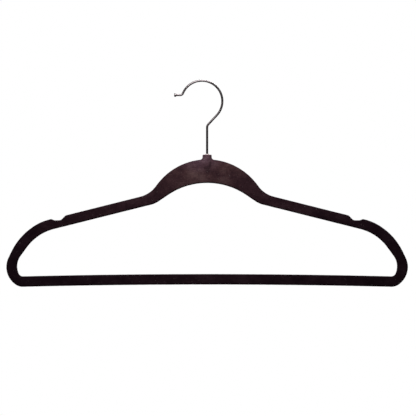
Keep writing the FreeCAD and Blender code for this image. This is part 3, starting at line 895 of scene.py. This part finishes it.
class HANGER_PG_coat(bpy.types.PropertyGroup):
    """Pile of the velvet"""

    pile_height: FloatProperty(
        name="Pile Unevenness", description="How far the tips of the pile rise and fall",
        default=0.00003, min=0.0, max=0.0002, precision=5, subtype="DISTANCE", unit="LENGTH",
    )
    pile_colour: FloatVectorProperty(
        name="Pile", description="Colour of the pile standing up",
        default=(0.0405, 0.0215, 0.0255), size=3, min=0.0, max=1.0, subtype="COLOR",
    )
    deep_colour: FloatVectorProperty(
        name="Deep Pile", description="Colour where the pile leans away",
        default=(0.0225, 0.0108, 0.0155), size=3, min=0.0, max=1.0, subtype="COLOR",
    )
    brushed_colour: FloatVectorProperty(
        name="Brushed Pile", description="Colour where the pile is brushed flat",
        default=(0.067, 0.042, 0.046), size=3, min=0.0, max=1.0, subtype="COLOR",
    )
    stray_colour: FloatVectorProperty(
        name="Stray Fibres", description="Colour of the few light fibres on the pile",
        default=(0.3, 0.26, 0.25), size=3, min=0.0, max=1.0, subtype="COLOR",
    )


class HANGER_PG_hook(bpy.types.PropertyGroup):
    """Plating of the wire"""

    metal_colour: FloatVectorProperty(
        name="Plating", description="Colour of the clear patches of the plating",
        default=(0.17, 0.148, 0.152), size=3, min=0.0, max=1.0, subtype="COLOR",
    )
    shade_colour: FloatVectorProperty(
        name="Hazy Plating", description="Colour of the hazy patches of the plating",
        default=(0.1, 0.086, 0.09), size=3, min=0.0, max=1.0, subtype="COLOR",
    )
    polish: FloatProperty(
        name="Roughness", description="Roughness of the smoothest patches",
        default=0.27, min=0.0, max=1.0, subtype="FACTOR",
    )


class HANGER_PG_swivel(bpy.types.PropertyGroup):
    """Plastics of the bush and the core"""

    bush_colour: FloatVectorProperty(
        name="Bush", description="Colour of the nylon bush",
        default=(0.8, 0.7, 0.68), size=3, min=0.0, max=1.0, subtype="COLOR",
    )
    core_colour: FloatVectorProperty(
        name="Core", description="Colour of the moulded core under the pile",
        default=(0.014, 0.012, 0.0125), size=3, min=0.0, max=1.0, subtype="COLOR",
    )


class HANGER_PG_stage(bpy.types.PropertyGroup):
    """Floor, lights and camera"""

    floor_colour: FloatVectorProperty(
        name="Floor", description="Colour of the studio floor",
        default=(0.86, 0.86, 0.86), size=3, min=0.0, max=1.0, subtype="COLOR",
    )
    floor_size: FloatProperty(
        name="Floor Size", description="Length of the floor's side",
        default=12.0, min=0.5, max=20.0, subtype="DISTANCE", unit="LENGTH",
    )
    floor_drop: FloatProperty(
        name="Floor Drop", description="Floor below the lowest line of the hanger",
        default=2.1, min=0.0, max=5.0, subtype="DISTANCE", unit="LENGTH",
    )
    floor_glow: FloatProperty(
        name="Floor Glow", description="How much paler the camera sees the floor than the lights make it",
        default=0.88, min=0.0, max=2.0,
    )
    key_power: FloatProperty(
        name="Key Light", description="Power of the soft light above and in front of the hanger",
        default=2.2, min=0.0, max=500.0, unit="POWER",
    )
    rear_power: FloatProperty(
        name="Rear Light", description="Power of the soft light above and behind the hanger",
        default=2.2, min=0.0, max=500.0, unit="POWER",
    )
    picture_width: FloatProperty(
        name="Picture Width", description="Width that the camera sees at the hanger",
        default=0.467, min=0.05, max=5.0, subtype="DISTANCE", unit="LENGTH",
    )
    lens: FloatProperty(
        name="Focal Length", description="Focal length of the camera's lens",
        default=135.0, min=20.0, max=300.0, subtype="DISTANCE_CAMERA", unit="CAMERA",
    )


# ------------------------------------------------------------------ operators

class HANGER_OT_coat(bpy.types.Operator):
    """Lay the velvet over the body and over the round boss"""

    bl_idname = "hanger.coat"
    bl_label = "Velvet Coat"

    def execute(self, context):
        settings = context.scene.hanger_coat
        pile = velvet_material(settings)
        points, uv, edge = coat_surface(settings.pile_height)
        # The rim attribute sets where painted shade darkens the velvet's rounded edges.
        coat = add_grid("velvet_coat", points, True, uv, pile, 70.0, {"painted_rim_shade": edge})
        points, uv, edge = boss_surface(settings.pile_height)
        cap = add_grid("velvet_boss", points, True, uv, pile, 70.0, {"painted_rim_shade": edge})
        for piece in (coat, cap):
            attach(piece, "hanger_body")
            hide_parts("flock_coat")
        return {"FINISHED"}


class HANGER_OT_hook(bpy.types.Operator):
    """Bend the plated wire hook with its button and its upset foot"""

    bl_idname = "hanger.hook"
    bl_label = "Wire Hook"

    def execute(self, context):
        points, uv = hook_surface()
        hook = add_grid("hook_wire", points, False, uv, wire_material(context.scene.hanger_hook), 50.0)
        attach(hook, "hook")
        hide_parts("hook")
        return {"FINISHED"}


class HANGER_OT_swivel(bpy.types.Operator):
    """Turn the nylon bush, and finish the washer and the core halves"""

    bl_idname = "hanger.swivel"
    bl_label = "Bush, Washer and Core"

    def execute(self, context):
        settings = context.scene.hanger_swivel
        points, uv = bush_surface()
        bush = add_grid("nylon_bush", points, True, uv, nylon_material(settings), 40.0)
        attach(bush, "hanger_body")
        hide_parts("hook_bush")
        finish_frame_node("thrust_washer", washer_material())
        plastic = moulded_material(settings)
        for node in ("core_front", "core_rear"):
            finish_frame_node(node, plastic)
        return {"FINISHED"}


def soft_light(name, place, target, power):
    """A square soft light at a place, turned to face a target."""
    lamp = bpy.data.lights.new(name, "AREA")
    lamp.shape = "SQUARE"
    lamp.size = LIGHT_SIDE
    lamp.energy = power
    light = bpy.data.objects.new(name, lamp)
    light.location = place
    light.rotation_euler = (Vector(target) - Vector(place)).to_track_quat("-Z", "Y").to_euler()
    bpy.context.scene.collection.objects.link(light)


def studio_floor(settings):
    """A square pale floor, well below the hanging part."""
    floor_z = CAD_LOW[2] - settings.floor_drop
    half = settings.floor_size / 2
    corners = [(x * half, y * half, floor_z) for x, y in ((-1, -1), (1, -1), (1, 1), (-1, 1))]
    mesh = bpy.data.meshes.new("studio_floor")
    mesh.from_pydata(corners, [], [(0, 1, 2, 3)])
    mesh.materials.append(floor_material(settings.floor_colour, settings.floor_glow))
    floor = bpy.data.objects.new("studio_floor", mesh)
    bpy.context.scene.collection.objects.link(floor)
    floor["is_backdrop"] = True


def studio_camera(settings):
    """A camera level with the middle of the hanger and square to it, as far back as its lens needs."""
    camera = bpy.data.cameras.new("Camera")
    camera.lens = settings.lens
    camera.sensor_width = SENSOR_WIDTH
    view = bpy.data.objects.new("Camera", camera)
    away = settings.picture_width * settings.lens / SENSOR_WIDTH
    view.location = (AXIS_X + CAMERA_ASIDE, -away, BASE_Z + CAMERA_HEIGHT)
    view.rotation_euler = (math.pi / 2, 0.0, 0.0)
    bpy.context.scene.collection.objects.link(view)
    return view


def studio_world():
    """A white room for the camera, and a dim grey one for the lighting and the reflections."""
    world = bpy.data.worlds.new("Studio room")
    world.use_nodes = True
    nodes, links = world.node_tree.nodes, world.node_tree.links
    output, dim = nodes["World Output"], nodes["Background"]
    dim.inputs["Color"].default_value = (0.9, 0.9, 0.92, 1.0)
    dim.inputs["Strength"].default_value = ROOM_STRENGTH
    white = nodes.new("ShaderNodeBackground")
    white.inputs["Color"].default_value = (1.0, 1.0, 1.0, 1.0)
    white.inputs["Strength"].default_value = 1.0
    path = nodes.new("ShaderNodeLightPath")
    mix = nodes.new("ShaderNodeMixShader")
    links.new(path.outputs["Is Camera Ray"], mix.inputs["Fac"])
    links.new(dim.outputs["Background"], mix.inputs[1])
    links.new(white.outputs["Background"], mix.inputs[2])
    links.new(mix.outputs["Shader"], output.inputs["Surface"])
    return world


class HANGER_OT_stage(bpy.types.Operator):
    """Set the pale floor, the soft lights and the camera"""

    bl_idname = "hanger.stage"
    bl_label = "Studio Stage"

    def execute(self, context):
        scene, settings = context.scene, context.scene.hanger_stage
        studio_floor(settings)
        yoke = (AXIS_X, 0.0, BASE_Z + YOKE_TOP * MM)
        lights = (("Key light", -1, settings.key_power), ("Rear light", 1, settings.rear_power))
        for name, side, power in lights:
            place = (AXIS_X + side * LIGHT_ASIDE, side * LIGHT_AWAY, BASE_Z + LIGHT_HEIGHT)
            soft_light(name, place, yoke, power)
        scene.world = studio_world()
        scene.view_settings.view_transform = "Standard"
        scene.camera = studio_camera(settings)
        return {"FINISHED"}


class HANGER_PT_panel(bpy.types.Panel):
    """Lists the hanger's settings and its steps"""

    bl_label = "Clothes Hanger"
    bl_space_type = "VIEW_3D"
    bl_region_type = "UI"
    bl_category = "Hanger"

    def draw(self, context):
        steps = (
            ("hanger_coat", "hanger.coat"), ("hanger_hook", "hanger.hook"),
            ("hanger_swivel", "hanger.swivel"), ("hanger_stage", "hanger.stage"),
        )
        for group_name, operator in steps:
            group = getattr(context.scene, group_name)
            box = self.layout.box()
            for key in group.bl_rna.properties.keys():
                if key not in {"rna_type", "name"}:
                    box.prop(group, key)
            box.operator(operator)


CLASSES = (
    HANGER_PG_coat, HANGER_PG_hook, HANGER_PG_swivel, HANGER_PG_stage,
    HANGER_OT_coat, HANGER_OT_hook, HANGER_OT_swivel, HANGER_OT_stage, HANGER_PT_panel,
)


def register():
    for item in CLASSES:
        bpy.utils.register_class(item)
    bpy.types.Scene.hanger_coat = PointerProperty(type=HANGER_PG_coat)
    bpy.types.Scene.hanger_hook = PointerProperty(type=HANGER_PG_hook)
    bpy.types.Scene.hanger_swivel = PointerProperty(type=HANGER_PG_swivel)
    bpy.types.Scene.hanger_stage = PointerProperty(type=HANGER_PG_stage)


def unregister():
    for name in ("hanger_coat", "hanger_hook", "hanger_swivel", "hanger_stage"):
        delattr(bpy.types.Scene, name)
    for item in reversed(CLASSES):
        bpy.utils.unregister_class(item)


def main():
    """Register the add-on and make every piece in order."""
    register()
    bpy.ops.hanger.coat()
    bpy.ops.hanger.hook()
    bpy.ops.hanger.swivel()
    bpy.ops.hanger.stage()


if __name__ == "__main__":
    main()
